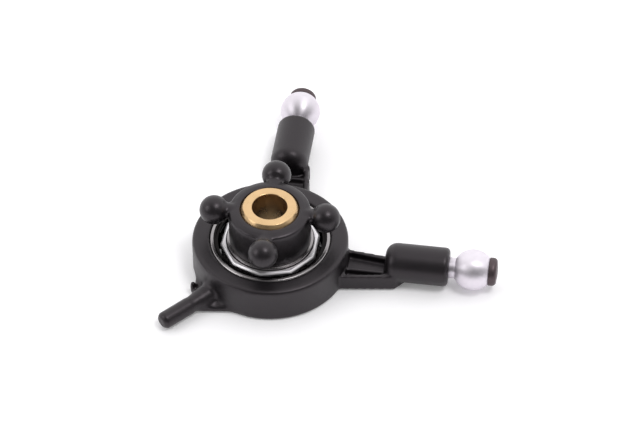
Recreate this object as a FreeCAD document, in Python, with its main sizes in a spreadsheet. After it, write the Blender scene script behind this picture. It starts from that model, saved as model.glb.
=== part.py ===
import FreeCAD, Part
import Sketcher
import math
import os

# Swashplate of a small model helicopter, in millimetres.
# Every piece is drawn in the plate frame: the rotor axis is Z, the underside of the stationary
# ring is z = 0, the first control arm points along +X and the second along +Y.
# The finished pieces are then lowered together, so that the centre of the spherical bearing,
# about which the plate tilts, is the origin.

DIMENSIONS = [
    # stationary ring
    ("ring_radius", 9.0, "outside radius of the stationary ring"),
    ("ring_height", 4.4, "height of the stationary ring"),
    ("ring_top_round", 0.45, "round on the top outer edge"),
    ("ring_foot_round", 0.25, "round on the bottom outer edge"),
    ("ring_floor", 0.8, "thickness of the lip under the bearing"),
    ("ring_floor_reach", 0.65, "how far that lip reaches in under the outer race"),
    ("seat_clearance", 0.01, "clearance of a seat that is pressed or glued"),
    # ball bearing
    ("bearing_bore_radius", 4.0, "bore of the inner race"),
    ("bearing_section", 3.0, "radial height of the bearing, from its bore to its outside"),
    ("bearing_width", 3.5, "width of both races"),
    ("bearing_ball_radius", 1.0, "radius of a bearing ball"),
    ("bearing_shoulder", 0.5, "height of a race's shoulder above the bottom of its groove"),
    ("bearing_play", 0.02, "running clearance of the balls in the grooves"),
    ("race_chamfer", 0.15, "chamfer on the corners of the races"),
    ("race_face_width", 0.55, "width of the outer race's side face outside the shield seat"),
    ("shield_seat_depth", 0.35, "depth of the shield seat in each side of the outer race"),
    # crown cage of the bearing
    ("cage_clearance", 0.13, "gap between the cage and the inner race"),
    ("cage_band", 0.66, "width of the cage at its corners"),
    ("cage_back", 0.4, "thickness of the cage over the balls"),
    ("cage_finger_reach", 0.5, "how far the fingers reach past the middle of the balls"),
    ("cage_pocket_play", 0.06, "clearance round each ball in the cage"),
    ("cage_bevel", 0.2, "bevel on the top outer edge of the cage"),
    ("cage_slot_width", 0.5, "slot that splits each finger pair"),
    ("cage_slot_depth", 1.2, "depth of that slot"),
    ("cage_phase", 15.0, "angle of a corner of the cage, in degrees"),
    # control arms
    ("beam_root_left", 1.6, "reach of an arm's beam to the left, inside the ring's wall"),
    ("beam_tip_left", 0.86, "reach of the beam to the left, inside the boss"),
    ("beam_root_right", 3.2, "reach of the beam to the right, inside the ring's wall"),
    ("beam_tip_right", 2.3, "reach of the beam to the right, inside the boss"),
    ("beam_nose", 2.0, "how far the beam runs on to a point under the boss"),
    ("beam_bottom", 0.1, "height of the underside of the beam"),
    ("beam_depth", 2.0, "depth of the beam"),
    ("rib_width", 0.6, "width of each rib along the beam"),
    ("top_channel_depth", 0.8, "depth of the channel between the top ribs"),
    ("low_rib_drop", 0.15, "how far the ribs in that channel lie below the long ribs"),
    ("middle_rib_offset", 1.45, "distance of the first arm's middle rib from its centre line"),
    ("middle_rib_width", 0.35, "width of that middle rib"),
    ("cross_rib_place", 12.4, "distance of the second arm's cross rib from the rotor axis"),
    ("cross_rib_width", 0.45, "width of that cross rib"),
    ("pip_radius", 0.35, "radius of the two pips on the right side of the second arm"),
    ("near_pip_place", 12.0, "distance of the near pip from the rotor axis"),
    ("far_pip_place", 14.2, "distance of the far pip from the rotor axis"),
    ("near_pip_offset", 2.47, "distance of the near pip from the arm's centre line"),
    ("far_pip_offset", 2.21, "distance of the far pip from the arm's centre line"),
    ("boss_start", 13.35, "distance of the inner end of the boss from the rotor axis"),
    ("boss_end", 20.7, "distance of the outer end of the boss from the rotor axis"),
    ("boss_radius", 2.25, "radius of the boss"),
    ("boss_floor_gap", 0.03, "gap under the boss when the ring lies on a flat surface"),
    ("boss_dome", 1.35, "round on the inner end of the boss"),
    ("boss_chamfer", 0.3, "chamfer on the outer end of the boss"),
    # control balls and their screws
    ("control_ball_radius", 2.375, "radius of a control ball"),
    ("control_ball_half_length", 1.85, "distance of the ball's centre from its outer flat"),
    ("neck_radius", 1.2, "radius of the neck under a control ball"),
    ("neck_length", 0.75, "length of that neck"),
    ("screw_radius", 0.8, "radius of a ball screw's shank"),
    ("screw_clearance", 0.05, "clearance of the screw in the control ball"),
    ("screw_grip", 5.0, "length of the shank in the boss"),
    ("screw_hole_spare", 0.4, "depth of the hole beyond the screw's end"),
    ("screw_head_radius", 1.625, "radius of the screw head"),
    ("screw_head_height", 0.95, "height of the screw head"),
    ("screw_head_round", 0.45, "round on the screw head's edge"),
    ("recess_width", 0.34, "width of a wing of the cross recess"),
    ("recess_half_length", 0.85, "half length of the cross recess"),
    ("recess_depth", 0.55, "depth of the cross recess"),
    ("screw_point", 0.4, "length of the chamfered point"),
    # anti-rotation pin
    ("pin_angle", -132.0, "direction of the anti-rotation pin, in degrees"),
    ("pin_radius", 1.0, "radius of the anti-rotation pin"),
    ("pin_tip", 16.0, "distance of the pin's tip from the rotor axis"),
    ("pin_floor_gap", 0.05, "gap under the pin when the ring lies on a flat surface"),
    ("pin_chamfer", 0.35, "chamfer on the pin's tip"),
    ("collar_radius", 1.25, "radius of the collar at the pin's root"),
    ("collar_end", 10.3, "distance from the rotor axis where the collar starts to taper"),
    ("collar_taper_end", 11.4, "distance from the rotor axis where the plain pin starts"),
    ("web_root_half_width", 3.7, "half width of the web where it leaves the ring"),
    ("web_tip_half_width", 0.9, "half width of the web at its outer end"),
    ("web_end", 11.2, "distance of the web's outer end from the rotor axis"),
    ("web_thickness", 0.9, "thickness of the web"),
    ("lug_place", 9.75, "distance of the lug on the web, along the pin"),
    ("lug_offset", 2.15, "distance of the lug from the pin's axis"),
    ("lug_radius", 0.42, "radius of the lug"),
    ("lug_height", 1.75, "height of the lug"),
    # rotating hub
    ("hub_radius", 4.72, "radius of the hub above the bearing"),
    ("hub_shoulder_height", 8.55, "height of the hub's outer top edge"),
    ("hub_rim_height", 9.0, "height of the rim round the centre ball"),
    ("hub_rim_width", 0.65, "width of the flat on that rim"),
    ("hub_edge_round", 0.22, "chamfer on the hub's outer top edge"),
    ("hub_foot", 0.2, "height of the hub's lower end"),
    ("hub_bore_foot_radius", 3.25, "radius of the hub's bore at its lower end"),
    ("hub_bore_neck_radius", 2.9, "radius of the hub's bore under the centre ball"),
    ("link_ball_radius", 1.7, "radius of a link ball moulded on the hub"),
    ("link_ball_place", 6.4, "distance of a link ball from the rotor axis"),
    ("link_ball_height", 8.1, "height of the link balls' centres"),
    ("link_neck_radius", 0.9, "radius of a link ball's neck"),
    ("hub_phase", 1.8, "angle of the first link ball, in degrees"),
    # retaining ring under the inner race
    ("clip_thickness", 0.3, "thickness of the retaining ring"),
    ("clip_inner_radius", 3.7, "inside radius of the retaining ring"),
    ("clip_width", 0.85, "radial width of the retaining ring"),
    ("clip_sweep", 310.0, "angle that the retaining ring covers, in degrees"),
    # centre ball
    ("centre_ball_radius", 3.85, "radius of the centre ball"),
    ("centre_ball_half_length", 2.4, "half of the ball's length between its flats"),
    ("centre_ball_height", 6.9, "height of the ball's centre, where the plate tilts"),
    ("mast_radius", 2.0, "radius of the rotor mast"),
    ("mast_clearance", 0.02, "running clearance of the mast in the ball"),
    ("mast_bore_chamfer", 0.12, "chamfer at both ends of the mast bore"),
    ("socket_clearance", 0.03, "running clearance of the ball in its socket"),
    ("socket_lip_radius", 3.38, "radius of the opening that the ball snaps through"),
]

BEARING_BALLS = 10
LINK_BALLS = 4
ARM_ANGLES = {"pitch": 0.0, "roll": 90.0}

doc = FreeCAD.newDocument("swashplate")
sheet = doc.addObject("Spreadsheet::Sheet", "Sizes")
for row, (alias, value, note) in enumerate(DIMENSIONS, start=1):
    sheet.set(f"A{row}", note)
    sheet.set(f"B{row}", str(value))
    sheet.setAlias(f"B{row}", alias)
doc.recompute()


class Size:
    """A length or an angle that keeps both its value and the expression that gives it."""

    def __init__(self, value, words):
        self.value = value
        self.words = words

    def __add__(self, other):
        return Size(self.value + size_of(other).value, f"({self.words} + {size_of(other).words})")

    def __sub__(self, other):
        return Size(self.value - size_of(other).value, f"({self.words} - {size_of(other).words})")

    def __mul__(self, other):
        return Size(self.value * size_of(other).value, f"({self.words} * {size_of(other).words})")

    def __truediv__(self, other):
        return Size(self.value / size_of(other).value, f"({self.words} / {size_of(other).words})")

    def __neg__(self):
        return Size(-self.value, f"(-1 * {self.words})")


def size_of(number):
    return number if isinstance(number, Size) else Size(float(number), f"{float(number):.12f}")


def leg(longest, other):
    """The third side of a right triangle."""
    return Size(math.sqrt(longest.value ** 2 - other.value ** 2),
                f"sqrt({longest.words} ^ 2 - {other.words} ^ 2)")


D = {alias: Size(value, f"Sizes.{alias}") for alias, value, note in DIMENSIONS}
ZERO = size_of(0)

# heights and radii that several pieces share
bearing_bore = D["bearing_bore_radius"]
bearing_outside = bearing_bore + D["bearing_section"]
wall_middle = (bearing_outside + D["ring_radius"]) / 2
bearing_foot = D["ring_floor"]
bearing_top = bearing_foot + D["bearing_width"]
bearing_middle = bearing_foot + D["bearing_width"] / 2
pitch_radius = bearing_bore + D["bearing_section"] / 2
groove_radius = D["bearing_ball_radius"] + D["bearing_play"]
inner_shoulder = pitch_radius - groove_radius + D["bearing_shoulder"]
outer_shoulder = pitch_radius + groove_radius - D["bearing_shoulder"]
boss_axis = D["boss_radius"] + D["boss_floor_gap"]
pin_axis = D["pin_radius"] + D["pin_floor_gap"]
beam_top = D["beam_bottom"] + D["beam_depth"]
ball_back = leg(D["control_ball_radius"], D["neck_radius"])
control_ball_place = D["boss_end"] + D["neck_length"] + ball_back
head_seat = control_ball_place + D["control_ball_half_length"]
clip_top = bearing_foot
clip_foot = bearing_foot - D["clip_thickness"]
socket_radius = D["centre_ball_radius"] + D["socket_clearance"]
mast_bore = D["mast_radius"] + D["mast_clearance"]


def new_body(label):
    body = doc.addObject("PartDesign::Body", "Body_" + label)
    body.Label = label
    body.setExpression("Placement.Base.z", "-1 * Sizes.centre_ball_height")
    return body


def origin_part(body, role):
    return next(part for part in body.Origin.OriginFeatures if part.Role == role)


def sketch_on(body, name, role="XY_Plane", lift=ZERO, turn=ZERO, out=ZERO):
    """A sketch on an origin plane, turned about Z, then lifted along Z and moved out along its turn."""
    sketch = body.newObject("Sketcher::SketchObject", name)
    sketch.AttachmentSupport = [(origin_part(body, role), "")]
    sketch.MapMode = "FlatFace"
    level = role == "XY_Plane"
    axis = FreeCAD.Vector(0, 0, 1) if level else FreeCAD.Vector(0, 1, 0)
    sketch.AttachmentOffset = FreeCAD.Placement(
        FreeCAD.Vector(0, 0, 0), FreeCAD.Rotation(axis, turn.value or 1e-9))
    sketch.setExpression("AttachmentOffset.Rotation.Angle", turn.words)
    sketch.setExpression("AttachmentOffset.Base.z" if level else "AttachmentOffset.Base.y", lift.words)
    if out.value:
        sketch.setExpression("AttachmentOffset.Base.x", f"{out.words} * sin({turn.words} * 1 deg)")
        sketch.setExpression("AttachmentOffset.Base.z", f"{out.words} * cos({turn.words} * 1 deg)")
    return sketch


def hold(sketch, geometry, point, across, up):
    """Hold one point of a sketch at two bound distances from the sketch's origin."""
    for kind, other_axis, distance in (("DistanceX", -2, across), ("DistanceY", -1, up)):
        if abs(distance.value) < 1e-9:
            sketch.addConstraint(Sketcher.Constraint("PointOnObject", geometry, point, other_axis))
            continue
        forward = distance.value > 0
        ends = (-1, 1, geometry, point) if forward else (geometry, point, -1, 1)
        index = sketch.addConstraint(Sketcher.Constraint(kind, *ends, abs(distance.value)))
        sketch.setExpression(f"Constraints[{index}]", (distance if forward else -distance).words)


def outline(sketch, *corners):
    """A closed outline through bound corners.

    A corner is (across, up), or (across, up, radius, side) when an arc leads to it from the
    corner before: side is 1 for an arc that turns left and -1 for one that turns right.
    """
    first = sketch.GeometryCount
    arrives = []
    leaves = []
    for index, corner in enumerate(corners):
        start = vector(*corners[index - 1][:2])
        end = vector(*corner[:2])
        if len(corner) == 2:
            sketch.addGeometry(Part.LineSegment(start, end), False)
        else:
            sketch.addGeometry(short_arc(start, end, *corner[2:]), False)
        left_turn = len(corner) == 2 or corner[3] > 0
        leaves.append(1 if left_turn else 2)
        arrives.append(2 if left_turn else 1)
    for index, corner in enumerate(corners):
        after = (index + 1) % len(corners)
        sketch.addConstraint(Sketcher.Constraint(
            "Coincident", first + index, arrives[index], first + after, leaves[after]))
        hold(sketch, first + index, arrives[index], size_of(corner[0]), size_of(corner[1]))
        if len(corner) == 4:
            held = sketch.addConstraint(
                Sketcher.Constraint("Radius", first + index, corner[2].value))
            sketch.setExpression(f"Constraints[{held}]", corner[2].words)


def vector(across, up):
    return FreeCAD.Vector(size_of(across).value, size_of(up).value, 0)


def short_arc(start, end, radius, side):
    """The shorter arc of a circle from start to end."""
    chord = end - start
    rise = math.sqrt(max(radius.value ** 2 - chord.Length ** 2 / 4, 0))
    across = FreeCAD.Vector(-chord.y, chord.x, 0).normalize()
    centre = (start + end) / 2 + across * rise * side
    crown = centre - across * radius.value * side
    return Part.Arc(start, crown, end)


def disc(sketch, across, up, radius):
    """A circle about a bound centre."""
    up_axis = FreeCAD.Vector(0, 0, 1)
    index = sketch.addGeometry(Part.Circle(vector(across, up), up_axis, radius.value), False)
    hold(sketch, index, 3, size_of(across), size_of(up))
    held = sketch.addConstraint(Sketcher.Constraint("Radius", index, radius.value))
    sketch.setExpression(f"Constraints[{held}]", radius.words)


def raise_up(body, name, sketch, length):
    return extrusion(body, "PartDesign::Pad", name, sketch, length)


def sink(body, name, sketch, depth):
    return extrusion(body, "PartDesign::Pocket", name, sketch, depth)


def extrusion(body, kind, name, sketch, length):
    feature = body.newObject(kind, name)
    feature.Profile = sketch
    feature.setExpression("Length", length.words)
    body.Tip = feature
    return feature


def turned(body, name, *corners, sweep=size_of(360), turn=ZERO, cut=False):
    """A profile of corners (radius, height), revolved about the rotor axis."""
    return revolved(body, name, corners, "V_Axis", ZERO, turn, cut, sweep)


def turned_level(body, name, *corners, lift, turn, cut=False):
    """A profile of corners (distance, radius), revolved about a level axis that points out."""
    return revolved(body, name, corners, "H_Axis", lift, turn, cut, size_of(360))


def revolved(body, name, corners, axis, lift, turn, cut, sweep):
    sketch = sketch_on(body, name + "_profile", "XZ_Plane", lift, turn)
    outline(sketch, *corners)
    feature = body.newObject("PartDesign::Groove" if cut else "PartDesign::Revolution", name)
    feature.Profile = sketch
    feature.ReferenceAxis = (sketch, [axis])
    feature.Angle = sweep.value
    feature.setExpression("Angle", sweep.words)
    body.Tip = feature
    return feature


def sphere(body, name, radius, across=ZERO, up=ZERO, turn=ZERO, half_length=None, cut=False):
    """A sphere, with level flats when half_length is given."""
    feature = body.newObject(f"PartDesign::{'Subtractive' if cut else 'Additive'}Sphere", name)
    feature.AttachmentSupport = [(origin_part(body, "XY_Plane"), "")]
    feature.MapMode = "FlatFace"
    feature.setExpression("Radius", radius.words)
    if half_length is not None:
        feature.setExpression("Angle1", f"-1 * asin({half_length.words} / {radius.words})")
        feature.setExpression("Angle2", f"asin({half_length.words} / {radius.words})")
    feature.setExpression("AttachmentOffset.Base.x", f"{across.words} * cos({turn.words} * 1 deg)")
    feature.setExpression("AttachmentOffset.Base.y", f"{across.words} * sin({turn.words} * 1 deg)")
    feature.setExpression("AttachmentOffset.Base.z", up.words)
    body.Tip = feature
    return feature


def round_the_axis(body, name, originals, count):
    """Repeat features evenly round the rotor axis."""
    feature = body.newObject("PartDesign::PolarPattern", name)
    feature.Originals = originals
    feature.Axis = (origin_part(body, "Z_Axis"), [""])
    feature.Angle = 360.0
    feature.Occurrences = count
    body.Tip = feature
    return feature


def dress(body, kind, name, size, wanted):
    """Fillet or chamfer the edges of the body's tip for which wanted(edge) holds."""
    doc.recompute()
    base = body.Tip
    edges = [f"Edge{n}" for n, edge in enumerate(base.Shape.Edges, start=1) if wanted(edge)]
    if not edges:
        raise ValueError(f"{body.Label}: {name} finds no edge")
    feature = body.newObject("PartDesign::" + kind, name)
    feature.Base = (base, edges)
    feature.setExpression("Radius" if kind == "Fillet" else "Size", size.words)
    body.Tip = feature
    return feature


def ring_edge(radius, height):
    """Test for a full circle about the rotor axis."""
    def test(edge):
        curve = edge.Curve
        if not isinstance(curve, Part.Circle):
            return False
        offset = math.hypot(curve.Center.x, curve.Center.y) + abs(curve.Center.z - height.value)
        return abs(curve.Radius - radius.value) + offset < 1e-4
    return test


def top_straight_edge(height):
    """Test for a straight edge at one height."""
    def test(edge):
        level = all(abs(vertex.Z - height.value) < 1e-4 for vertex in edge.Vertexes)
        return isinstance(edge.Curve, Part.Line) and level
    return test


def stationary_ring():
    """Moulded ring with its bearing seat, two control arms and the anti-rotation pin."""
    body = new_body("stationary_ring")
    outer, top = D["ring_radius"], D["ring_height"]
    seat = bearing_outside + D["seat_clearance"]
    lip = bearing_outside - D["ring_floor_reach"]
    turned(body, "ring", (lip, ZERO), (outer, ZERO), (outer, top), (seat, top),
           (seat, bearing_foot), (lip, bearing_foot))
    dress(body, "Fillet", "top_round", D["ring_top_round"], ring_edge(outer, top))
    dress(body, "Fillet", "foot_round", D["ring_foot_round"], ring_edge(outer, ZERO))
    for name, angle in ARM_ANGLES.items():
        control_arm(body, name, size_of(angle))
    low_ribs(body)
    anti_rotation_pin(body)
    return body


def control_arm(body, name, angle):
    """Tapered beam with two top ribs, and the boss that holds a control ball."""
    tip = D["boss_start"] + D["boss_dome"]
    reaches = (D["beam_root_left"], D["beam_tip_left"], D["beam_root_right"], D["beam_tip_right"])
    root_left, tip_left, root_right, tip_right = reaches
    plan = sketch_on(body, name + "_beam_plan", lift=D["beam_bottom"], turn=angle)
    outline(plan, (wall_middle, -root_right), (tip, -tip_right), (tip + D["beam_nose"], ZERO),
            (tip, tip_left), (wall_middle, root_left))
    raise_up(body, name + "_beam", plan, D["beam_depth"])

    root_left, tip_left, root_right, tip_right = [reach - D["rib_width"] for reach in reaches]
    plan = sketch_on(body, name + "_channel_plan", lift=beam_top, turn=angle)
    outline(plan, (D["ring_radius"], -root_right), (tip, -tip_right), (tip, tip_left),
            (D["ring_radius"], root_left))
    sink(body, name + "_channel", plan, D["top_channel_depth"])

    start, end, outside = D["boss_start"], D["boss_end"], D["boss_radius"]
    dome, bevel = D["boss_dome"], D["boss_chamfer"]
    turned_level(body, name + "_boss", (start, ZERO), (start, outside - dome),
                 (start + dome, outside, dome, -1), (end - bevel, outside), (end, outside - bevel),
                 (end, ZERO), lift=boss_axis, turn=angle)
    floor = end - D["screw_grip"] - D["screw_hole_spare"]
    hole = D["screw_radius"] + D["seat_clearance"]
    turned_level(body, name + "_screw_hole", (floor, ZERO), (floor, hole), (end, hole), (end, ZERO),
                 lift=boss_axis, turn=angle, cut=True)


def low_ribs(body):
    """A rib along the first arm's channel, one across the second's, and the second's two pips."""
    end = D["boss_start"] + D["boss_dome"]
    height = D["top_channel_depth"] - D["low_rib_drop"]
    floor = beam_top - D["top_channel_depth"]
    near = D["middle_rib_offset"] - D["middle_rib_width"] / 2
    far = D["middle_rib_offset"] + D["middle_rib_width"] / 2
    plan = sketch_on(body, "middle_rib_plan", lift=floor, turn=size_of(ARM_ANGLES["pitch"]))
    outline(plan, (wall_middle, -far), (end, -far), (end, -near), (wall_middle, -near))
    raise_up(body, "middle_rib", plan, height)

    angle = size_of(ARM_ANGLES["roll"])
    near = D["cross_rib_place"] - D["cross_rib_width"] / 2
    far = D["cross_rib_place"] + D["cross_rib_width"] / 2
    left, right = D["beam_tip_left"], D["beam_tip_right"]
    plan = sketch_on(body, "cross_rib_plan", lift=floor, turn=angle)
    outline(plan, (near, -right), (far, -right), (far, left), (near, left))
    raise_up(body, "cross_rib", plan, height)

    plan = sketch_on(body, "pips_plan", lift=D["beam_bottom"], turn=angle)
    disc(plan, D["near_pip_place"], -D["near_pip_offset"], D["pip_radius"])
    disc(plan, D["far_pip_place"], -D["far_pip_offset"], D["pip_radius"])
    raise_up(body, "pips", plan, D["beam_depth"])


def anti_rotation_pin(body):
    """Pin that runs in the frame's guide slot, with the web, lug and collar at its root."""
    angle = D["pin_angle"]
    wide, narrow = D["web_root_half_width"], D["web_tip_half_width"]
    plan = sketch_on(body, "web_plan", turn=angle)
    outline(plan, (wall_middle, -wide), (D["web_end"], -narrow), (D["web_end"], narrow),
            (wall_middle, wide))
    raise_up(body, "web", plan, D["web_thickness"])
    plan = sketch_on(body, "lug_plan", turn=angle)
    disc(plan, D["lug_place"], -D["lug_offset"], D["lug_radius"])
    raise_up(body, "lug", plan, D["lug_height"])

    tip, bevel, radius = D["pin_tip"], D["pin_chamfer"], D["pin_radius"]
    collar = D["collar_radius"]
    turned_level(body, "pin", (wall_middle, ZERO), (wall_middle, collar),
                 (D["collar_end"], collar), (D["collar_taper_end"], radius), (tip - bevel, radius),
                 (tip, radius - bevel), (tip, ZERO), lift=pin_axis, turn=angle)
    plan = sketch_on(body, "floor_plan", turn=angle)
    outline(plan, (wall_middle, -collar), (tip, -collar), (tip, collar), (wall_middle, collar))
    sink(body, "floor_trim", plan, collar)


def control_ball(name, angle):
    """Turned ball with its neck, drilled for the screw that holds it on the boss."""
    body = new_body(name + "_control_ball")
    hole = D["screw_radius"] + D["screw_clearance"]
    radius = D["control_ball_radius"]
    flat = leg(radius, D["control_ball_half_length"])
    turned_level(body, "ball_and_neck", (D["boss_end"], hole), (D["boss_end"], D["neck_radius"]),
                 (control_ball_place - ball_back, D["neck_radius"]),
                 (head_seat, flat, radius, -1), (head_seat, hole), lift=boss_axis, turn=angle)
    return body


def ball_screw(name, angle):
    """Screw through the control ball into the boss, with a cross recess in its round head."""
    body = new_body(name + "_ball_screw")
    tip, point = D["boss_end"] - D["screw_grip"], D["screw_point"]
    shank, head, edge = D["screw_radius"], D["screw_head_radius"], D["screw_head_round"]
    end = head_seat + D["screw_head_height"]
    turned_level(body, "screw", (tip, ZERO), (tip, shank - point / 2), (tip + point, shank),
                 (head_seat, shank), (head_seat, head), (end - edge, head),
                 (end, head - edge, edge, -1), (end, ZERO), lift=boss_axis, turn=angle)
    recess = sketch_on(body, "recess_plan", "YZ_Plane", boss_axis, angle, out=end)
    half, reach = D["recess_width"] / 2, D["recess_half_length"]
    outline(recess, (half, reach), (half, half), (reach, half), (reach, -half), (half, -half),
            (half, -reach), (-half, -reach), (-half, -half), (-reach, -half), (-reach, half),
            (-half, half), (-half, reach))
    sink(body, "recess", recess, D["recess_depth"])
    return body


def outer_race():
    """Outer race with a groove for the balls and two shield seats, pressed into the ring."""
    body = new_body("bearing_outer_race")
    land, outer, bevel = outer_shoulder, bearing_outside, D["race_chamfer"]
    half = leg(groove_radius, outer_shoulder - pitch_radius)
    face = outer - bevel - D["race_face_width"]
    low, high = bearing_foot + D["shield_seat_depth"], bearing_top - D["shield_seat_depth"]
    turned(body, "race", (land, low), (face, low), (face, bearing_foot),
           (outer - bevel, bearing_foot), (outer, bearing_foot + bevel),
           (outer, bearing_top - bevel), (outer - bevel, bearing_top), (face, bearing_top),
           (face, high), (land, high), (land, bearing_middle + half),
           (land, bearing_middle - half, groove_radius, -1))
    return body


def inner_race():
    """Inner race with a deep groove for the balls, seated on the hub's journal."""
    body = new_body("bearing_inner_race")
    bore, land, bevel = bearing_bore, inner_shoulder, D["race_chamfer"]
    half = leg(groove_radius, pitch_radius - inner_shoulder)
    turned(body, "race", (bore + bevel, bearing_foot), (land, bearing_foot),
           (land, bearing_middle - half), (land, bearing_middle + half, groove_radius, -1),
           (land, bearing_top), (bore + bevel, bearing_top), (bore, bearing_top - bevel),
           (bore, bearing_foot + bevel))
    return body


def bearing_ball(number):
    body = new_body(f"bearing_ball_{number + 1:02d}")
    turn = D["cage_phase"] + 360 / BEARING_BALLS * (number + 0.5)
    sphere(body, "ball", D["bearing_ball_radius"], pitch_radius, bearing_middle, turn)
    return body


def cage():
    """Crown cage: a bevelled back with as many sides as balls, and split fingers between them."""
    body = new_body("bearing_cage")
    pocket = D["bearing_ball_radius"] + D["cage_pocket_play"]
    foot = bearing_middle - D["cage_finger_reach"]
    top = bearing_middle + pocket + D["cage_back"]
    inside = inner_shoulder + D["cage_clearance"]
    corner = inside + D["cage_band"]
    plan = sketch_on(body, "back_plan", lift=foot, turn=D["cage_phase"])
    angles = [2 * math.pi * side / BEARING_BALLS for side in range(BEARING_BALLS)]
    outline(plan, *[(corner * math.cos(angle), corner * math.sin(angle)) for angle in angles])
    disc(plan, ZERO, ZERO, inside)
    raise_up(body, "back", plan, top - foot)
    dress(body, "Chamfer", "bevel", D["cage_bevel"], top_straight_edge(top))
    first = D["cage_phase"] + 180 / BEARING_BALLS
    cut = sphere(body, "pocket", pocket, pitch_radius, bearing_middle, first, cut=True)
    round_the_axis(body, "pockets", [cut], BEARING_BALLS)
    plan = sketch_on(body, "slot_plan", lift=foot + D["cage_slot_depth"], turn=D["cage_phase"])
    near, far, half = bearing_bore, corner + D["cage_band"], D["cage_slot_width"] / 2
    outline(plan, (near, -half), (far, -half), (far, half), (near, half))
    slot = sink(body, "slot", plan, D["cage_slot_depth"])
    round_the_axis(body, "slots", [slot], BEARING_BALLS)
    return body


def hub():
    """Moulded hub: journal for the bearing, snap-in socket for the centre ball, link balls."""
    body = new_body("rotating_hub")
    journal = bearing_bore - D["seat_clearance"]
    foot, bevel, outer = D["hub_foot"], D["race_chamfer"], D["hub_radius"]
    lip, neck, middle = D["socket_lip_radius"], D["hub_bore_neck_radius"], D["centre_ball_height"]
    rim = lip + D["hub_rim_width"]
    shoulder, edge = D["hub_shoulder_height"], D["hub_edge_round"]
    turned(body, "barrel", (D["hub_bore_foot_radius"], foot), (journal - bevel, foot),
           (journal, foot + bevel), (journal, bearing_top), (outer, bearing_top),
           (outer, shoulder - edge), (outer - edge, shoulder), (rim + edge, shoulder),
           (rim, D["hub_rim_height"]), (lip, D["hub_rim_height"]), (lip, middle), (neck, middle),
           (neck, middle - leg(socket_radius, neck)))
    turned(body, "clip_groove", (D["clip_inner_radius"], clip_foot), (outer, clip_foot),
           (outer, clip_top), (D["clip_inner_radius"], clip_top), cut=True)
    turn = D["hub_phase"]
    bulb = sphere(body, "link_ball", D["link_ball_radius"], D["link_ball_place"],
                  D["link_ball_height"], turn)
    start, place, radius = lip + D["hub_rim_width"] / 2, D["link_ball_place"], D["link_neck_radius"]
    stem = turned_level(body, "link_neck", (start, ZERO), (start, radius), (place, radius),
                        (place, ZERO), lift=D["link_ball_height"], turn=turn)
    round_the_axis(body, "link_balls", [bulb, stem], LINK_BALLS)
    sphere(body, "socket", socket_radius, up=middle, cut=True)
    return body


def retaining_ring():
    """Open steel ring in the journal's groove, which holds the hub in the bearing."""
    body = new_body("hub_retaining_ring")
    inside = D["clip_inner_radius"] + D["seat_clearance"]
    outside = D["clip_inner_radius"] + D["clip_width"]
    turned(body, "ring", (inside, clip_foot), (outside, clip_foot), (outside, clip_top),
           (inside, clip_top), sweep=D["clip_sweep"])
    return body


def centre_ball():
    """Brass ball with flat ends that slides on the mast and carries the hub."""
    body = new_body("centre_ball")
    middle, half = D["centre_ball_height"], D["centre_ball_half_length"]
    bore, bevel = mast_bore, D["mast_bore_chamfer"]
    sphere(body, "ball", D["centre_ball_radius"], up=middle, half_length=half)
    turned(body, "mast_bore", (ZERO, middle - half), (bore + bevel, middle - half),
           (bore, middle - half + bevel), (bore, middle + half - bevel),
           (bore + bevel, middle + half), (ZERO, middle + half), cut=True)
    return body


stationary_ring()
for arm, arm_angle in ARM_ANGLES.items():
    control_ball(arm, size_of(arm_angle))
    ball_screw(arm, size_of(arm_angle))
outer_race()
inner_race()
cage()
for ball_number in range(BEARING_BALLS):
    bearing_ball(ball_number)
hub()
retaining_ring()
centre_ball()
doc.recompute()

pieces = [thing for thing in doc.Objects if thing.isDerivedFrom("PartDesign::Body")]
for thing in doc.Objects:
    if "Invalid" in thing.State or "Error" in thing.State:
        raise RuntimeError(f"{thing.Name} failed: {thing.State}")
for piece in pieces:
    if piece.Shape.isNull() or not piece.Shape.isValid() or len(piece.Shape.Solids) != 1:
        raise RuntimeError(f"{piece.Label} is not one valid solid")

os.makedirs("parts", exist_ok=True)
for piece in pieces:
    piece.Shape.exportStep(f"parts/{piece.Label}.step")
    print(f"{piece.Label}: {piece.Shape.Volume:.2f} mm3")
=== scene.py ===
"""Looks of a model helicopter's swashplate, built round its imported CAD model."""

import math
from collections import namedtuple

import bpy
from mathutils import Matrix, Vector


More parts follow.
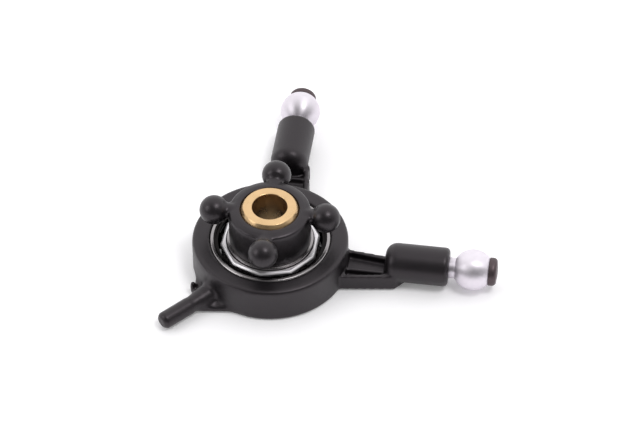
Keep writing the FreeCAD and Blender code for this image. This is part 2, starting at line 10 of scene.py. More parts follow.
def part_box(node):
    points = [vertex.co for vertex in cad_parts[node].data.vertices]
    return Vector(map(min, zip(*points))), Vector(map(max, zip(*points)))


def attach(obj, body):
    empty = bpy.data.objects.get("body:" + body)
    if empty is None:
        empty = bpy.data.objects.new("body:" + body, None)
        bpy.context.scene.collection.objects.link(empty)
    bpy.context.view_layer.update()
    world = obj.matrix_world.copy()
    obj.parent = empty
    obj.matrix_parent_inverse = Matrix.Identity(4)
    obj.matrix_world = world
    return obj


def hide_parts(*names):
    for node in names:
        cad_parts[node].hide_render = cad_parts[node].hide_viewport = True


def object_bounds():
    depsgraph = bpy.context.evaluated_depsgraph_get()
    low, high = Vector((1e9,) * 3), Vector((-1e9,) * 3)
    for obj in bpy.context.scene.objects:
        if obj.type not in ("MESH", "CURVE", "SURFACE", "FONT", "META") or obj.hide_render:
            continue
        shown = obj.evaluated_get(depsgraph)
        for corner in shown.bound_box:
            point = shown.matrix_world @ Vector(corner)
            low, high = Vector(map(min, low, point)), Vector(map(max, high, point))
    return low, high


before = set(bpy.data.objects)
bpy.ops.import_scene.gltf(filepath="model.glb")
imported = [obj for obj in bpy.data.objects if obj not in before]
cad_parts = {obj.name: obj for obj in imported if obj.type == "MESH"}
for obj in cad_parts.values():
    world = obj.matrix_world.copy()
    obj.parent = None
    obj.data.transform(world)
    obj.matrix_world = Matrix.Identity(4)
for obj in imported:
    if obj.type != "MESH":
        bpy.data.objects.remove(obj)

bl_info = {
    "name": "Swashplate looks",
    "version": (1, 0, 0),
    "blender": (4, 5, 0),
    "location": "View3D > Sidebar > Swashplate",
    "description": "Finishes and stage for a model helicopter's swashplate",
    "category": "Object",
}

MM = 0.001
CAD_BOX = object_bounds()
UP = Vector((0, 0, 1))
SIDEWAYS = Vector((1, 0, 0))

# The direction in which each control arm points.
ARMS = {"pitch": Vector((1, 0, 0)), "roll": Vector((0, 1, 0))}

MERGE_DISTANCE = 0.001 * MM
SMOOTH_FACTOR = 0.5
ROOT_COSINE = 0.85       # the pin's root reaches about 32 degrees to each side of the pin
SHOULDER_SLOPE = 0.35    # share of the slope that the hub's shoulder keeps
RECESS_TAPER = 0.55      # the tool that cuts a recess narrows to this share at its tip
FACING = 0.9             # cosine of the widest turn at which a face still faces a direction
SHARP_EDGE = 30          # an edge that turns by more degrees than this is broken
SHARP_SCREW_EDGE = 35    # the same on the screws

WAVE_TURN = 20           # radians that a Wave texture of scale 1 turns in one unit
ACROSS_MARKS = 0.25      # a quarter turn of the gloss, from along the tool's marks to across

# Places of a colour Mix node's sockets, whose names repeat.
FACTOR, FIRST, SECOND, MIXED = 0, 6, 7, 2


def to_linear(hex_colour):
    """Linear red, green and blue of an sRGB hex colour."""
    channels = [int(hex_colour[place:place + 2], 16) / 255 for place in (1, 3, 5)]
    return tuple(c / 12.92 if c <= 0.04045 else ((c + 0.055) / 1.055) ** 2.4 for c in channels)


def colour_property(name, hex_colour, description):
    return bpy.props.FloatVectorProperty(
        name=name, description=description, subtype="COLOR", size=3, min=0.0, max=1.0,
        default=to_linear(hex_colour))


def length_property(name, millimetres, description):
    return bpy.props.FloatProperty(
        name=name, description=description, unit="LENGTH", min=0.0, precision=5,
        default=millimetres * MM)


def angle_property(name, degrees, description):
    return bpy.props.FloatProperty(
        name=name, description=description, subtype="ANGLE", default=math.radians(degrees))


def count_property(name, count, description):
    return bpy.props.IntProperty(name=name, description=description, min=0, default=count)


# ---------------------------------------------------------------- settings

class SWASH_PG_finishes(bpy.types.PropertyGroup):
    """Colours and surface sizes of the finishes."""

    nylon: colour_property("Nylon", "#0e0c0e", "Colour of the moulded black nylon")
    # Partly painted highlight: the edges are painted this lighter grey, which also stands for wear
    # from handling.
    nylon_scuff_and_highlight: colour_property("Scuffed nylon", "#4a464c", "Colour of the rubbed edges")
    nylon_grain: length_property("Nylon grain", 0.22, "Width of the moulded grain")
    nylon_relief: length_property("Nylon relief", 0.02, "Depth of the moulded grain")
    nylon_patch: length_property("Nylon patch", 2.4, "Width of the nylon's paler patches")
    aluminium: colour_property("Aluminium", "#ebe5ed", "Colour of the turned aluminium")
    brass: colour_property("Brass", "#dcba8d", "Colour of the turned brass")
    steel: colour_property("Bearing steel", "#9e9a9b", "Colour of the ground races")
    bright_steel: colour_property("Bright steel", "#eeebee", "Colour of the cage")
    black_oxide: colour_property("Black oxide", "#5e5356", "Colour of the blackened screws")
    # Painted shade: this dark colour is painted on the races and the balls, where the bearing's
    # deep gap lies in shadow.
    gap_shade: colour_property("Grease", "#1c1a1a", "Colour of the greased inside of the bearing")
    spring_steel: colour_property("Spring steel", "#63646a", "Colour of the retaining ring")
    tool_mark: length_property("Tool mark", 0.754, "Spacing of the lathe tool's marks")
    metal_patch: length_property("Metal patch", 1.1, "Width of the metals' paler patches")


class SWASH_PG_shapes(bpy.types.PropertyGroup):
    """Sizes of the modelled pieces that the CAD boxes do not give."""

    ring_voxel: length_property("Ring detail", 0.13, "Size of the smallest step on the ring")
    hub_voxel: length_property("Hub detail", 0.1, "Size of the smallest step on the hub")
    edge_passes: count_property("Edge passes", 8, "How often the moulded edges are softened")
    pin_angle: angle_property("Pin angle", -132, "Direction of the anti-rotation pin")
    root_start: length_property("Root start", 8.9, "Where the pin's root starts")
    root_end: length_property("Root end", 12.0, "Where the pin's root ends")
    root_passes: count_property("Root passes", 40, "How often the pin's root is softened")
    rim_drop: length_property("Rim drop", 0.8, "From the link balls' tops to the hub's rim")
    shoulder_start: length_property("Shoulder start", 4.2, "Where the hub's shoulder starts")
    shoulder_end: length_property("Shoulder end", 4.8, "Where the hub's shoulder ends")
    shoulder_depth: length_property("Shoulder depth", 0.9, "Depth of the shoulder under the rim")
    rim_start: length_property("Rim start", 3.7, "How far in the top of the hub is softened")
    rim_end: length_property("Rim end", 5.4, "How far out the top of the hub is softened")
    rim_depth: length_property("Rim depth", 1.6, "How far down the top of the hub is softened")
    rim_passes: count_property("Rim passes", 24, "How often the top of the hub is softened")
    ball_reach: length_property("Ball reach", 1.85, "From a control ball's centre to its flat")
    ball_bore: length_property("Ball bore", 0.85, "Radius of a control ball's bore")
    neck_radius: length_property("Neck radius", 1.2, "Radius of a control ball's neck")
    broken_edge: length_property("Broken edge", 0.06, "Width of the turned pieces' broken edges")
    screw_radius: length_property("Screw radius", 0.8, "Radius of a screw's shank")
    head_round: length_property("Head round", 0.45, "Round on a screw head's edge")
    head_crown: length_property("Head crown", 0.08, "Rise of a screw head's crown")
    recess_width: length_property("Recess width", 0.36, "Width of the tool for the cross recess")
    recess_length: length_property("Recess length", 1.7, "Length of the tool for the cross recess")
    recess_depth: length_property("Recess depth", 0.55, "Depth of the cross recess")
    # Painted shade: between these two radii the races are painted dark, where the bearing's gap
    # lies in shadow.
    shade_start: length_property("Grease start", 5.02, "Radius at which the grease starts")
    shade_end: length_property("Grease end", 6.55, "Radius at which the grease ends")
    mast_bore: length_property("Mast bore", 2.02, "Radius of the bore for the mast")


class SWASH_PG_stage(bpy.types.PropertyGroup):
    """Camera, lights and floor."""

    elevation: angle_property("Elevation", 45.246, "Height of the camera over the horizon")
    azimuth: angle_property("Azimuth", 8.591, "Turn of the camera round the mast")
    roll: angle_property("Roll", -0.46, "Turn of the camera about its own view")
    distance: length_property("Distance", 350.0, "Distance from the camera to its target")
    sensor: bpy.props.FloatProperty(
        name="Sensor", description="Width of the camera's sensor",
        subtype="DISTANCE_CAMERA", default=36.0)
    lens: bpy.props.FloatProperty(
        name="Lens", description="Focal length of the camera",
        subtype="DISTANCE_CAMERA", default=172.63)
    nearest: length_property("Nearest", 10.0, "Nearest distance that the camera shows")
    target_right: length_property("Target right", 4.584, "Place of the target to the right")
    target_far: length_property("Target far", 7.412, "Place of the target away from the camera")
    light_distance: length_property("Light distance", 400.0, "Distance of the lamps")
    floor_colour: colour_property("Floor", "#fdfcfe", "Colour of the floor")
    floor_width: length_property("Floor width", 2400.0, "Width of the floor")
    paper_fibre: length_property("Paper fibre", 0.4, "Width of the fibres in the floor's paper")


# Two soft boxes before the object: a wide, faint one on the left and a small, strong one
# high on the right. A direction runs from the object: right, away from the camera, and up.
# The width is in metres and the power in watts.
Lamp = namedtuple("Lamp", "towards width power")
LAMPS = {
    "left_soft_box": Lamp(towards=(-0.81, -0.24, 0.54), width=200 * MM, power=0.32),
    "right_soft_box": Lamp(towards=(0.33, -0.22, 0.92), width=120 * MM, power=0.44),
}

# How each metal's surface was made: its roughness, the depth of the tool's marks, and how
# far the marks draw the gloss out across themselves.
Cut = namedtuple("Cut", "rough relief stretch")

# Turned aluminium, left as it was cut: pale and satin, with soft streaks on each ball.
TURNED_ALUMINIUM = Cut(rough=0.48, relief=0.004 * MM, stretch=0.55)

# Turned brass, cut with a fine feed: a warm, clear shine on the flat and at its edge.
TURNED_BRASS = Cut(rough=0.28, relief=0.003 * MM, stretch=0.5)

# Ground steel: the races show as thin bright arcs beside the painted shade of the bearing's gap.
GROUND_STEEL = Cut(rough=0.25, relief=0.001 * MM, stretch=0.3)

# Bearing steel painted dark: painted shade on the balls, which lie in the bearing's shaded gap; a
# small dull glint remains.
SHADE_PAINTED_STEEL = Cut(rough=0.4, relief=0.0005 * MM, stretch=0.0)

# Pressed and tumbled steel: the flats of the cage are white and satin, and each one
# catches the room in its own tone.
TUMBLED_STEEL = Cut(rough=0.45, relief=0.0005 * MM, stretch=0.0)

# Steel with black oxide: the screws are a dull, warm near-black.
BLACK_OXIDE = Cut(rough=0.45, relief=0.002 * MM, stretch=0.0)

# Hardened spring steel: the retaining ring is a plain, oiled grey.
SPRING_STEEL = Cut(rough=0.3, relief=0.001 * MM, stretch=0.0)

# Roughness of the nylon: the ring's satin and the finer, glossier skin of the hub.
SATIN_NYLON = 0.41
GLOSSY_NYLON = 0.35


# ---------------------------------------------------------------- finishes

def add_node(tree, kind, inputs=None, **settings):
    """Add a node, set its properties, and set or link its inputs.

    An input goes by its name, or by its place where the names repeat.
    """
    node = tree.nodes.new(kind)
    for name, value in settings.items():
        setattr(node, name, value)
    for socket, value in (inputs or {}).items():
        if isinstance(value, bpy.types.NodeSocket):
            tree.links.new(value, node.inputs[socket])
        else:
            node.inputs[socket].default_value = value
    return node


def new_material(name):
    material = bpy.data.materials.new(name)
    material.use_nodes = True
    material.node_tree.nodes.clear()
    return material, material.node_tree


def rgba(colour, factor=1.0):
    return (*(min(channel * factor, 1.0) for channel in colour), 1.0)


def moulded_nylon(finishes, name, rough):
    """Black nylon as it leaves the mould.

    The mould's spark-eroded grain gives the black a satin sheen with a faint pink in it.
    Patches are a little paler and duller. The edges are painted a lighter grey: partly wear
    from handling and partly a painted highlight along each edge. The real grain, near
    0.05 mm, is too fine to show and is drawn coarser.
    """
    darker, paler = 0.8, 1.3
    glossier, duller = 0.87, 1.13
    material, tree = new_material(name)
    place = add_node(tree, "ShaderNodeTexCoord").outputs["Object"]
    grain = add_node(tree, "ShaderNodeTexNoise", {
        "Vector": place, "Scale": 1 / finishes.nylon_grain, "Detail": 3.0, "Roughness": 0.55})
    patch = add_node(tree, "ShaderNodeTexNoise", {
        "Vector": place, "Scale": 1 / finishes.nylon_patch, "Detail": 2.0})
    colour = add_node(tree, "ShaderNodeMix", {
        FACTOR: patch.outputs["Fac"], FIRST: rgba(finishes.nylon, darker),
        SECOND: rgba(finishes.nylon, paler)}, data_type="RGBA")
    sheen = add_node(tree, "ShaderNodeMapRange", {
        "Value": patch.outputs["Fac"], "To Min": rough * glossier, "To Max": rough * duller})
    bump = add_node(tree, "ShaderNodeBump", {
        "Height": grain.outputs["Fac"], "Strength": 0.6, "Distance": finishes.nylon_relief})
    # Painted highlight: edges are painted a lighter grey, partly standing also for wear from
    # handling.
    # Pointiness is 0.5 on a flat face and more on an edge.
    edge = add_node(tree, "ShaderNodeMapRange", {
        "Value": add_node(tree, "ShaderNodeNewGeometry").outputs["Pointiness"],
        "From Min": 0.55, "From Max": 0.7, "To Max": 0.15})
    rubbed_and_highlighted = add_node(tree, "ShaderNodeMix", {
        FACTOR: edge.outputs[0], FIRST: colour.outputs[MIXED],
        SECOND: rgba(finishes.nylon_scuff_and_highlight)}, data_type="RGBA")
    shader = add_node(tree, "ShaderNodeBsdfPrincipled", {
        "Base Color": rubbed_and_highlighted.outputs[MIXED], "Roughness": sheen.outputs[0], "IOR": 1.53,
        "Specular Tint": rgba((1.0, 0.9, 0.97)), "Normal": bump.outputs[0]})
    add_node(tree, "ShaderNodeOutputMaterial", {"Surface": shader.outputs[0]})
    return material


def letter_of(axis):
    """X, Y or Z, whichever the axis runs along."""
    return "XYZ"[max(range(3), key=lambda place: abs(axis[place]))]


def turned_metal(finishes, name, colour, cut, axis, painted_shade=None):
    """Metal cut on a lathe, with fine rings round the axis that it was turned about.

    The rings draw the gloss out across themselves, as satin streaks on a ball. The real
    marks, near 0.1 mm apart, are too fine to show and are drawn coarser. Between the two
    radii of painted_shade the metal is painted dark: painted shade for the deep gap inside
    the bearing.
    """
    darker, paler = 0.85, 1.08
    smoother, rougher = 0.8, 1.25
    material, tree = new_material(name)
    place = add_node(tree, "ShaderNodeTexCoord").outputs["Object"]
    turned = add_node(tree, "ShaderNodeMapping", {
        "Vector": place, "Rotation": axis.to_track_quat("Z", "Y").to_euler()})
    rings = add_node(tree, "ShaderNodeTexWave", {
        "Vector": turned.outputs[0], "Scale": math.tau / WAVE_TURN / finishes.tool_mark,
        "Distortion": 0.6, "Detail": 2.0}, wave_type="BANDS", bands_direction="Z")
    patch = add_node(tree, "ShaderNodeTexNoise", {
        "Vector": place, "Scale": 1 / finishes.metal_patch, "Detail": 2.0})
    tone = add_node(tree, "ShaderNodeMix", {
        FACTOR: patch.outputs["Fac"], FIRST: rgba(colour, darker), SECOND: rgba(colour, paler)},
        data_type="RGBA")
    rough = add_node(tree, "ShaderNodeMapRange", {
        "Value": patch.outputs["Fac"], "To Min": cut.rough * smoother,
        "To Max": cut.rough * rougher})
    bump = add_node(tree, "ShaderNodeBump", {
        "Height": rings.outputs["Fac"], "Strength": 0.4, "Distance": cut.relief})
    # Painted shade: between two radii the metal takes the dark gap colour, where the bearing's gap
    # lies in shadow.
    if painted_shade:
        inner, outer = painted_shade
        plan = add_node(tree, "ShaderNodeVectorMath", {0: place, 1: (1, 1, 0)},
                        operation="MULTIPLY")
        reach = add_node(tree, "ShaderNodeVectorMath", {0: plan.outputs[0]}, operation="LENGTH")
        shade_mask = add_node(tree, "ShaderNodeMath", {
            0: reach.outputs["Value"], 1: (inner + outer) / 2, 2: (outer - inner) / 2},
            operation="COMPARE")
        tone = add_node(tree, "ShaderNodeMix", {
            FACTOR: shade_mask.outputs[0], FIRST: tone.outputs[MIXED],
            SECOND: rgba(finishes.gap_shade)}, data_type="RGBA")
    along = add_node(tree, "ShaderNodeTangent", direction_type="RADIAL", axis=letter_of(axis))
    shader = add_node(tree, "ShaderNodeBsdfPrincipled", {
        "Base Color": tone.outputs[MIXED], "Metallic": 1.0, "Roughness": rough.outputs[0],
        "Anisotropic": cut.stretch, "Anisotropic Rotation": ACROSS_MARKS,
        "Tangent": along.outputs[0], "Normal": bump.outputs[0]})
    add_node(tree, "ShaderNodeOutputMaterial", {"Surface": shader.outputs[0]})
    return material


def dress_node(node, material):
    """Give a CAD node one material all over."""
    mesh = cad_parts[node].data
    mesh.materials.clear()
    mesh.materials.append(material)


# ---------------------------------------------------------------- modelling tools

class Section:
    """Half a section, drawn with one moving point and then turned about an axis."""

    def __init__(self, name, centre, axis, along, out):
        self.centre = centre
        self.axis = axis
        self.side = UP if axis.z == 0 else SIDEWAYS
        self.point = (along, out)
        bpy.ops.object.select_all(action="DESELECT")
        bpy.ops.mesh.primitive_plane_add(size=MM, location=self.place(along, out))
        bpy.context.object.name = name
        bpy.ops.object.mode_set(mode="EDIT")
        bpy.ops.mesh.select_mode(type="VERT")
        bpy.ops.mesh.select_all(action="SELECT")
        # The plane merges into the one point that draws the section.
        bpy.ops.mesh.merge(type="CENTER")

    def place(self, along, out):
        return self.centre + self.axis * along + self.side * out

    def line(self, along, out):
        """Draw a straight line to a point."""
        step = self.place(along, out) - self.place(*self.point)
        bpy.ops.mesh.extrude_region_move(TRANSFORM_OT_translate={"value": step})
        self.point = (along, out)
        return self

    def arc(self, along, out, middle_along, middle_out, steps):
        """Draw an arc to a point, the short way about its middle."""
        first = Vector((self.point[0] - middle_along, self.point[1] - middle_out))
        last = Vector((along - middle_along, out - middle_out))
        bpy.ops.mesh.spin(
            steps=steps, angle=first.angle_signed(last),
            center=self.place(middle_along, middle_out), axis=self.axis.cross(self.side))
        self.point = (along, out)
        return self

    def turn(self, steps):
        """Turn the section all the way round and return the piece."""
        bpy.ops.mesh.select_all(action="SELECT")
        bpy.ops.mesh.spin(steps=steps, angle=math.tau, center=self.centre, axis=self.axis)
        bpy.ops.mesh.select_all(action="SELECT")
        bpy.ops.mesh.remove_doubles(threshold=MERGE_DISTANCE)
        bpy.ops.mesh.normals_make_consistent(inside=False)
        bpy.ops.object.mode_set(mode="OBJECT")
        bpy.ops.object.transform_apply(location=True, rotation=True, scale=True)
        return bpy.context.object


def pick(piece):
    """Select one piece alone and make it the active one."""
    bpy.ops.object.select_all(action="DESELECT")
    bpy.context.view_layer.objects.active = piece
    piece.select_set(True)


def merged_copy(node, name):
    """A copy of a CAD node whose loose triangles are joined, ready to be worked on."""
    piece = bpy.data.objects.new(name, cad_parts[node].data.copy())
    piece.data.name = name
    bpy.context.scene.collection.objects.link(piece)
    pick(piece)
    bpy.ops.object.mode_set(mode="EDIT")
    bpy.ops.mesh.select_all(action="SELECT")
    bpy.ops.mesh.remove_doubles(threshold=MERGE_DISTANCE)
    bpy.ops.mesh.customdata_custom_splitnormals_clear()
    bpy.ops.object.mode_set(mode="OBJECT")
    return piece


def edit_where(piece, kind, wanted):
    """Open the active piece for editing, with only its wanted corners or faces selected."""
    bpy.ops.object.mode_set(mode="EDIT")
    bpy.ops.mesh.select_mode(type=kind)
    bpy.ops.mesh.select_all(action="DESELECT")
    bpy.ops.object.mode_set(mode="OBJECT")
    parts = piece.data.vertices if kind == "VERT" else piece.data.polygons
    for part in parts:
        part.select = wanted(part)
    bpy.ops.object.mode_set(mode="EDIT")


def smooth_where(piece, wanted, passes):
    """Smooth only the wanted corners of the active piece."""
    edit_where(piece, "VERT", wanted)
    bpy.ops.mesh.vertices_smooth(factor=SMOOTH_FACTOR, repeat=passes)
    bpy.ops.object.mode_set(mode="OBJECT")


def modify(piece, kind, **settings):
    """Add a modifier to the active piece and apply it."""
    modifier = piece.modifiers.new(kind.title(), kind)
    for name, value in settings.items():
        setattr(modifier, name, value)
    bpy.ops.object.modifier_apply(modifier=modifier.name)


def break_edges(piece, width, sharp=SHARP_EDGE):
    """Take the sharpness off a piece's edges, as tumbling or a file does."""
    modify(piece, "BEVEL", width=width, segments=2, limit_method="ANGLE",
           angle_limit=math.radians(sharp), harden_normals=False)
    bpy.ops.object.shade_smooth_by_angle(angle=math.radians(sharp))


def settle(piece, body, slot, material, *nodes):
    """Give a piece its finish, its body and the CAD nodes that it stands for."""
    piece.data.materials.clear()
    piece.data.materials.append(material)
    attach(piece, body)
    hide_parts(*nodes)


# ---------------------------------------------------------------- operators

class SWASH_OT_mouldings(bpy.types.Operator):
    """Mould the ring and the hub, with the soft edges of nylon from a tool"""
    bl_idname = "swashplate.mouldings"
    bl_label = "Mouldings"

    def execute(self, context):
        shapes = context.scene.swash_shapes
        finishes = context.scene.swash_finishes
        ring = merged_copy("stationary_ring", "moulded_ring")
        self.soften(ring, shapes.ring_voxel, shapes.edge_passes)
        self.blend_roots(ring, shapes)
        settle(ring, "stationary_plate", "moulded_nylon",
               moulded_nylon(finishes, "satin_black_nylon", SATIN_NYLON), "stationary_ring")
        hub = merged_copy("rotating_hub", "moulded_hub")
        self.raise_shoulder(hub, shapes)
        self.soften(hub, shapes.hub_voxel, shapes.edge_passes)
        self.blend_rim(hub, shapes)
        settle(hub, "rotating_plate", "moulded_nylon",
               moulded_nylon(finishes, "glossy_black_nylon", GLOSSY_NYLON), "rotating_hub")
        return {"FINISHED"}

    def soften(self, piece, voxel, passes):
        """Remake a piece in small even faces and round all its edges."""
        modify(piece, "REMESH", mode="VOXEL", voxel_size=voxel)
        modify(piece, "SMOOTH", factor=SMOOTH_FACTOR, iterations=passes)
        bpy.ops.object.shade_smooth()

    def blend_roots(self, ring, shapes):
        """Run the web, the collar and the lug of the pin into the ring's wall."""
        pin = Vector((math.cos(shapes.pin_angle), math.sin(shapes.pin_angle)))
        smooth_where(
            ring, lambda corner: shapes.root_start < corner.co.xy.length < shapes.root_end
            and corner.co.xy.normalized().dot(pin) > ROOT_COSINE, shapes.root_passes)

    def raise_shoulder(self, hub, shapes):
        """Bring the hub's sloping shoulder up to the height of its rim."""
        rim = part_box("rotating_hub")[1].z - shapes.rim_drop
        edit_where(
            hub, "VERT",
            lambda corner: shapes.shoulder_start < corner.co.xy.length < shapes.shoulder_end
            and corner.co.z > rim - shapes.shoulder_depth)
        bpy.ops.transform.resize(value=(1, 1, SHOULDER_SLOPE), center_override=(0, 0, rim))
        bpy.ops.object.mode_set(mode="OBJECT")

    def blend_rim(self, hub, shapes):
        """Run the rim round the centre ball and the link balls' necks into the hub's top."""
        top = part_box("rotating_hub")[1].z
        smooth_where(
            hub, lambda corner: shapes.rim_start < corner.co.xy.length < shapes.rim_end
            and corner.co.z > top - shapes.rim_depth, shapes.rim_passes)


class SWASH_OT_control_balls(bpy.types.Operator):
    """Turn the two aluminium control balls with their necks"""
    bl_idname = "swashplate.control_balls"
    bl_label = "Control balls"

    def execute(self, context):
        shapes = context.scene.swash_shapes
        finishes = context.scene.swash_finishes
        neck, bore, edge = shapes.neck_radius, shapes.ball_bore, shapes.broken_edge
        for arm, axis in ARMS.items():
            low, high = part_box(f"{arm}_control_ball")
            radius = (high.z - low.z) / 2
            centre = Vector((0, 0, (high.z + low.z) / 2))
            start, seat = low.dot(axis), high.dot(axis)
            middle = seat - shapes.ball_reach
            back = middle - math.sqrt(radius ** 2 - neck ** 2)
            flat = math.sqrt(radius ** 2 - shapes.ball_reach ** 2)
            section = Section(f"{arm}_turned_ball", centre, axis, start, bore)
            section.line(start, neck - edge).line(start + edge, neck).line(back, neck)
            section.arc(seat, flat, middle, 0, steps=40).line(seat, bore).line(start, bore)
            piece = section.turn(steps=96)
            break_edges(piece, edge)
            aluminium = turned_metal(
                finishes, f"turned_aluminium_{arm}", finishes.aluminium, TURNED_ALUMINIUM, axis)
            settle(piece, "stationary_plate", "turned_aluminium", aluminium,
                   f"{arm}_control_ball")
        return {"FINISHED"}


class SWASH_OT_ball_screws(bpy.types.Operator):
    """Turn the two black screws and sink the cross recess in their heads"""
    bl_idname = "swashplate.ball_screws"
    bl_label = "Ball screws"

    def execute(self, context):
        shapes = context.scene.swash_shapes
        finishes = context.scene.swash_finishes
        shank, rounding, crown = shapes.screw_radius, shapes.head_round, shapes.head_crown
        for arm, axis in ARMS.items():
            low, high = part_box(f"{arm}_ball_screw")
            head = (high.z - low.z) / 2
            centre = Vector((0, 0, (high.z + low.z) / 2))
            tip, end = low.dot(axis), high.dot(axis)
            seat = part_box(f"{arm}_control_ball")[1].dot(axis)
            middle = end - crown - rounding
            section = Section(f"{arm}_turned_screw", centre, axis, tip, 0)
            section.line(tip, shank / 2).line(tip + shank / 2, shank).line(seat, shank)
            section.line(seat, head).line(middle, head)
            section.arc(end - crown, head - rounding, middle, head - rounding, steps=8)
            section.line(end, (head - rounding) / 2).line(end, 0)
            piece = section.turn(steps=96)
            self.sink_recess(piece, centre + axis * end, axis, shapes)
            break_edges(piece, shapes.broken_edge, SHARP_SCREW_EDGE)
            oxide = turned_metal(
                finishes, f"black_oxide_{arm}", finishes.black_oxide, BLACK_OXIDE, axis)
            settle(piece, "stationary_plate", "black_oxide_steel", oxide, f"{arm}_ball_screw")
        return {"FINISHED"}

    def sink_recess(self, screw, crown, axis, shapes):
        """Cut two crossed wings that narrow towards their floor."""
        across = UP.cross(axis)
        for long_way, short_way in ((across, UP), (UP, across)):
            bpy.ops.object.select_all(action="DESELECT")
            bpy.ops.mesh.primitive_cube_add(size=1, location=crown)
            wing = bpy.context.object
            wing.scale = [abs(length) for length in (
                axis * shapes.recess_depth * 2 + long_way * shapes.recess_length
                + short_way * shapes.recess_width)]
            bpy.ops.object.transform_apply(location=True, rotation=True, scale=True)
            edit_where(wing, "FACE", lambda face: face.normal.dot(-axis) > FACING)
            bpy.ops.transform.resize(
                value=(RECESS_TAPER, RECESS_TAPER, RECESS_TAPER),
                center_override=crown - axis * shapes.recess_depth)
            bpy.ops.object.mode_set(mode="OBJECT")
            pick(screw)
            modify(screw, "BOOLEAN", object=wing, operation="DIFFERENCE", solver="EXACT")
            bpy.data.objects.remove(wing)


class SWASH_OT_centre_ball(bpy.types.Operator):
    """Turn the brass centre ball"""
    bl_idname = "swashplate.centre_ball"
    bl_label = "Centre ball"

    def execute(self, context):
        shapes = context.scene.swash_shapes
        finishes = context.scene.swash_finishes
        low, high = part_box("centre_ball")
        radius, half = (high.x - low.x) / 2, (high.z - low.z) / 2
        flat = math.sqrt(radius ** 2 - half ** 2)
        bore, edge = shapes.mast_bore, shapes.broken_edge
        section = Section("turned_centre_ball", Vector((0, 0, 0)), UP, -half, bore + edge)
        section.line(-half, flat).arc(half, flat, 0, 0, steps=48).line(half, bore + edge)
        section.line(half - edge, bore).line(edge - half, bore).line(-half, bore + edge)
        piece = section.turn(steps=128)
        break_edges(piece, edge / 2)
        brass = turned_metal(finishes, "turned_brass", finishes.brass, TURNED_BRASS, UP)
        settle(piece, "mast_ball", "turned_brass", brass, "centre_ball")
        return {"FINISHED"}


class SWASH_OT_bearing(bpy.types.Operator):
    """Finish the races, the cage, the balls and the retaining ring"""
    bl_idname = "swashplate.bearing"
    bl_label = "Bearing"

    def execute(self, context):
        shapes = context.scene.swash_shapes
        finishes = context.scene.swash_finishes
        # The races carry painted shade: a dark band between two radii, where the bearing's gap
        # lies in shadow.
        ground = turned_metal(finishes, "ground_steel", finishes.steel, GROUND_STEEL, UP,
                              painted_shade=(shapes.shade_start, shapes.shade_end))
        # The balls are painted dark: painted shade, as they lie only in the bearing's shaded gap.
        ball_shade = turned_metal(finishes, "shade_painted_steel", finishes.gap_shade, SHADE_PAINTED_STEEL, UP)
        bright = turned_metal(
            finishes, "bright_steel", finishes.bright_steel, TUMBLED_STEEL, UP)
        spring = turned_metal(
            finishes, "spring_steel", finishes.spring_steel, SPRING_STEEL, UP)
        for node, body, slot, material in (
                ("bearing_outer_race", "stationary_plate", "bearing_steel", ground),
                ("bearing_inner_race", "rotating_plate", "bearing_steel", ground),
                ("bearing_cage", "cage_and_balls", "polished_steel", bright)):
            piece = merged_copy(node, node.replace("bearing", "ground"))
            break_edges(piece, shapes.broken_edge / 2)
            settle(piece, body, slot, material, node)
        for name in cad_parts:
            if name.startswith("bearing_ball_"):
                dress_node(name, ball_shade)
        dress_node("hub_retaining_ring", spring)
        return {"FINISHED"}


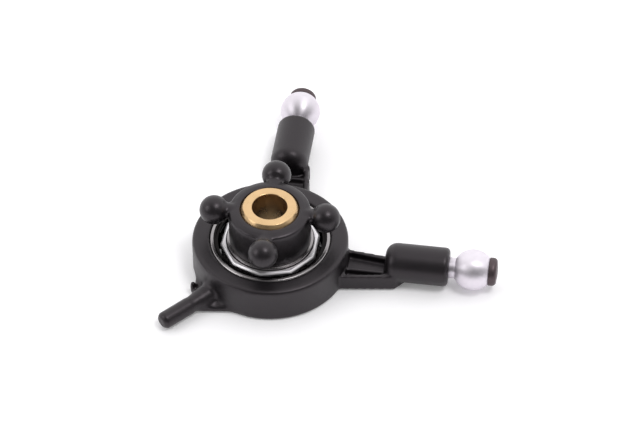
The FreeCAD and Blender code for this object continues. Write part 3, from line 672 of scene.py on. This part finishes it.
class SWASH_OT_stage(bpy.types.Operator):
    """Set up the camera, the lamps, the world and the floor"""
    bl_idname = "swashplate.stage"
    bl_label = "Stage"

    def execute(self, context):
        stage = context.scene.swash_stage
        self.camera(context, stage)
        self.lamps(context, stage)
        self.world(context)
        self.floor(context, stage)
        context.scene.view_settings.view_transform = "Standard"
        return {"FINISHED"}

    def camera(self, context, stage):
        """Aim at a target level with the ring's underside, then turn round the mast."""
        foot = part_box("stationary_ring")[0].z
        right = SIDEWAYS
        back = Vector((0, -math.cos(stage.elevation), math.sin(stage.elevation)))
        up = back.cross(right)
        axes = Matrix((
            right * math.cos(stage.roll) + up * math.sin(stage.roll),
            up * math.cos(stage.roll) - right * math.sin(stage.roll),
            back)).transposed()
        target = Vector((stage.target_right, stage.target_far, 0))
        turn = Matrix.Rotation(stage.azimuth, 3, "Z")
        place = turn @ (target + back * stage.distance) + UP * foot
        data = bpy.data.cameras.new("camera")
        data.sensor_width = stage.sensor
        data.sensor_fit = "HORIZONTAL"
        data.lens = stage.lens
        data.clip_start = stage.nearest
        camera = bpy.data.objects.new("camera", data)
        camera.matrix_world = Matrix.Translation(place) @ (turn @ axes).to_4x4()
        context.scene.collection.objects.link(camera)
        context.scene.camera = camera

    def lamps(self, context, stage):
        turn = Matrix.Rotation(stage.azimuth, 3, "Z")
        for name, settings in LAMPS.items():
            data = bpy.data.lights.new(name, "AREA")
            data.shape = "SQUARE"
            data.size = settings.width
            data.energy = settings.power
            lamp = bpy.data.objects.new(name, data)
            direction = turn @ Vector(settings.towards).normalized()
            lamp.location = direction * stage.light_distance
            lamp.rotation_euler = direction.to_track_quat("Z", "Y").to_euler()
            context.scene.collection.objects.link(lamp)

    def world(self, context):
        """A white room, dim before the object and bright behind it."""
        world = bpy.data.worlds.new("studio")
        world.use_nodes = True
        tree = world.node_tree
        tree.nodes.clear()
        towards = add_node(tree, "ShaderNodeTexCoord").outputs["Generated"]
        side = add_node(tree, "ShaderNodeSeparateXYZ", {0: towards})
        bright = add_node(tree, "ShaderNodeMapRange", {
            "Value": side.outputs["Y"], "From Min": -0.6, "From Max": 0.5,
            "To Min": 0.2, "To Max": 1.24}, interpolation_type="SMOOTHSTEP")
        room = add_node(tree, "ShaderNodeBackground", {
            "Color": (1, 1, 1, 1), "Strength": bright.outputs[0]})
        add_node(tree, "ShaderNodeOutputWorld", {"Surface": room.outputs[0]})
        context.scene.world = world

    def floor(self, context, stage):
        """A white floor under the whole object, which keeps the object's shadow."""
        bpy.ops.object.select_all(action="DESELECT")
        bpy.ops.mesh.primitive_plane_add(
            size=stage.floor_width, location=(0, 0, CAD_BOX[0][2]))
        floor = context.object
        floor.name = "floor"
        bpy.ops.object.transform_apply(location=True, rotation=True, scale=True)
        floor.data.materials.append(self.paper(stage))

    def paper(self, stage):
        """White paper, with a faint glow that only the camera, gloss and glass see."""
        shade = 0.97
        material, tree = new_material("white_paper")
        ray = add_node(tree, "ShaderNodeLightPath")
        seen = ray.outputs["Is Camera Ray"]
        for kind in ("Is Glossy Ray", "Is Transmission Ray"):
            seen = add_node(tree, "ShaderNodeMath", {0: seen, 1: ray.outputs[kind]},
                            operation="MAXIMUM").outputs[0]
        place = add_node(tree, "ShaderNodeTexCoord").outputs["Object"]
        fibre = add_node(tree, "ShaderNodeTexNoise", {
            "Vector": place, "Scale": 1 / stage.paper_fibre, "Detail": 2.0})
        tone = add_node(tree, "ShaderNodeMix", {
            FACTOR: fibre.outputs["Fac"], FIRST: rgba(stage.floor_colour, shade),
            SECOND: rgba(stage.floor_colour)}, data_type="RGBA")
        paper = add_node(tree, "ShaderNodeBsdfDiffuse", {"Color": tone.outputs[MIXED]})
        glow = add_node(tree, "ShaderNodeEmission", {"Strength": 0.16})
        lift = add_node(tree, "ShaderNodeAddShader", {0: paper.outputs[0], 1: glow.outputs[0]})
        shader = add_node(tree, "ShaderNodeMixShader", {
            0: seen, 1: paper.outputs[0], 2: lift.outputs[0]})
        add_node(tree, "ShaderNodeOutputMaterial", {"Surface": shader.outputs[0]})
        return material


# ---------------------------------------------------------------- panel

class SWASH_PT_panel(bpy.types.Panel):
    """Sidebar panel with the settings and the steps"""
    bl_idname = "SWASH_PT_panel"
    bl_label = "Swashplate"
    bl_space_type = "VIEW_3D"
    bl_region_type = "UI"
    bl_category = "Swashplate"

    def draw(self, context):
        for group_name, group in GROUPS.items():
            box = self.layout.box()
            for name in group.__annotations__:
                box.prop(getattr(context.scene, group_name), name)
        for step in STEPS:
            self.layout.operator(step.bl_idname)


GROUPS = {"swash_finishes": SWASH_PG_finishes, "swash_shapes": SWASH_PG_shapes,
          "swash_stage": SWASH_PG_stage}
STEPS = (SWASH_OT_mouldings, SWASH_OT_control_balls, SWASH_OT_ball_screws,
         SWASH_OT_centre_ball, SWASH_OT_bearing, SWASH_OT_stage)


def register():
    for cls in (*GROUPS.values(), *STEPS, SWASH_PT_panel):
        bpy.utils.register_class(cls)
    for name, group in GROUPS.items():
        setattr(bpy.types.Scene, name, bpy.props.PointerProperty(type=group))


def unregister():
    for name in GROUPS:
        delattr(bpy.types.Scene, name)
    for cls in reversed((*GROUPS.values(), *STEPS, SWASH_PT_panel)):
        bpy.utils.unregister_class(cls)


def main():
    register()
    bpy.ops.swashplate.mouldings()
    bpy.ops.swashplate.control_balls()
    bpy.ops.swashplate.ball_screws()
    bpy.ops.swashplate.centre_ball()
    bpy.ops.swashplate.bearing()
    bpy.ops.swashplate.stage()


if __name__ == "__main__":
    main()
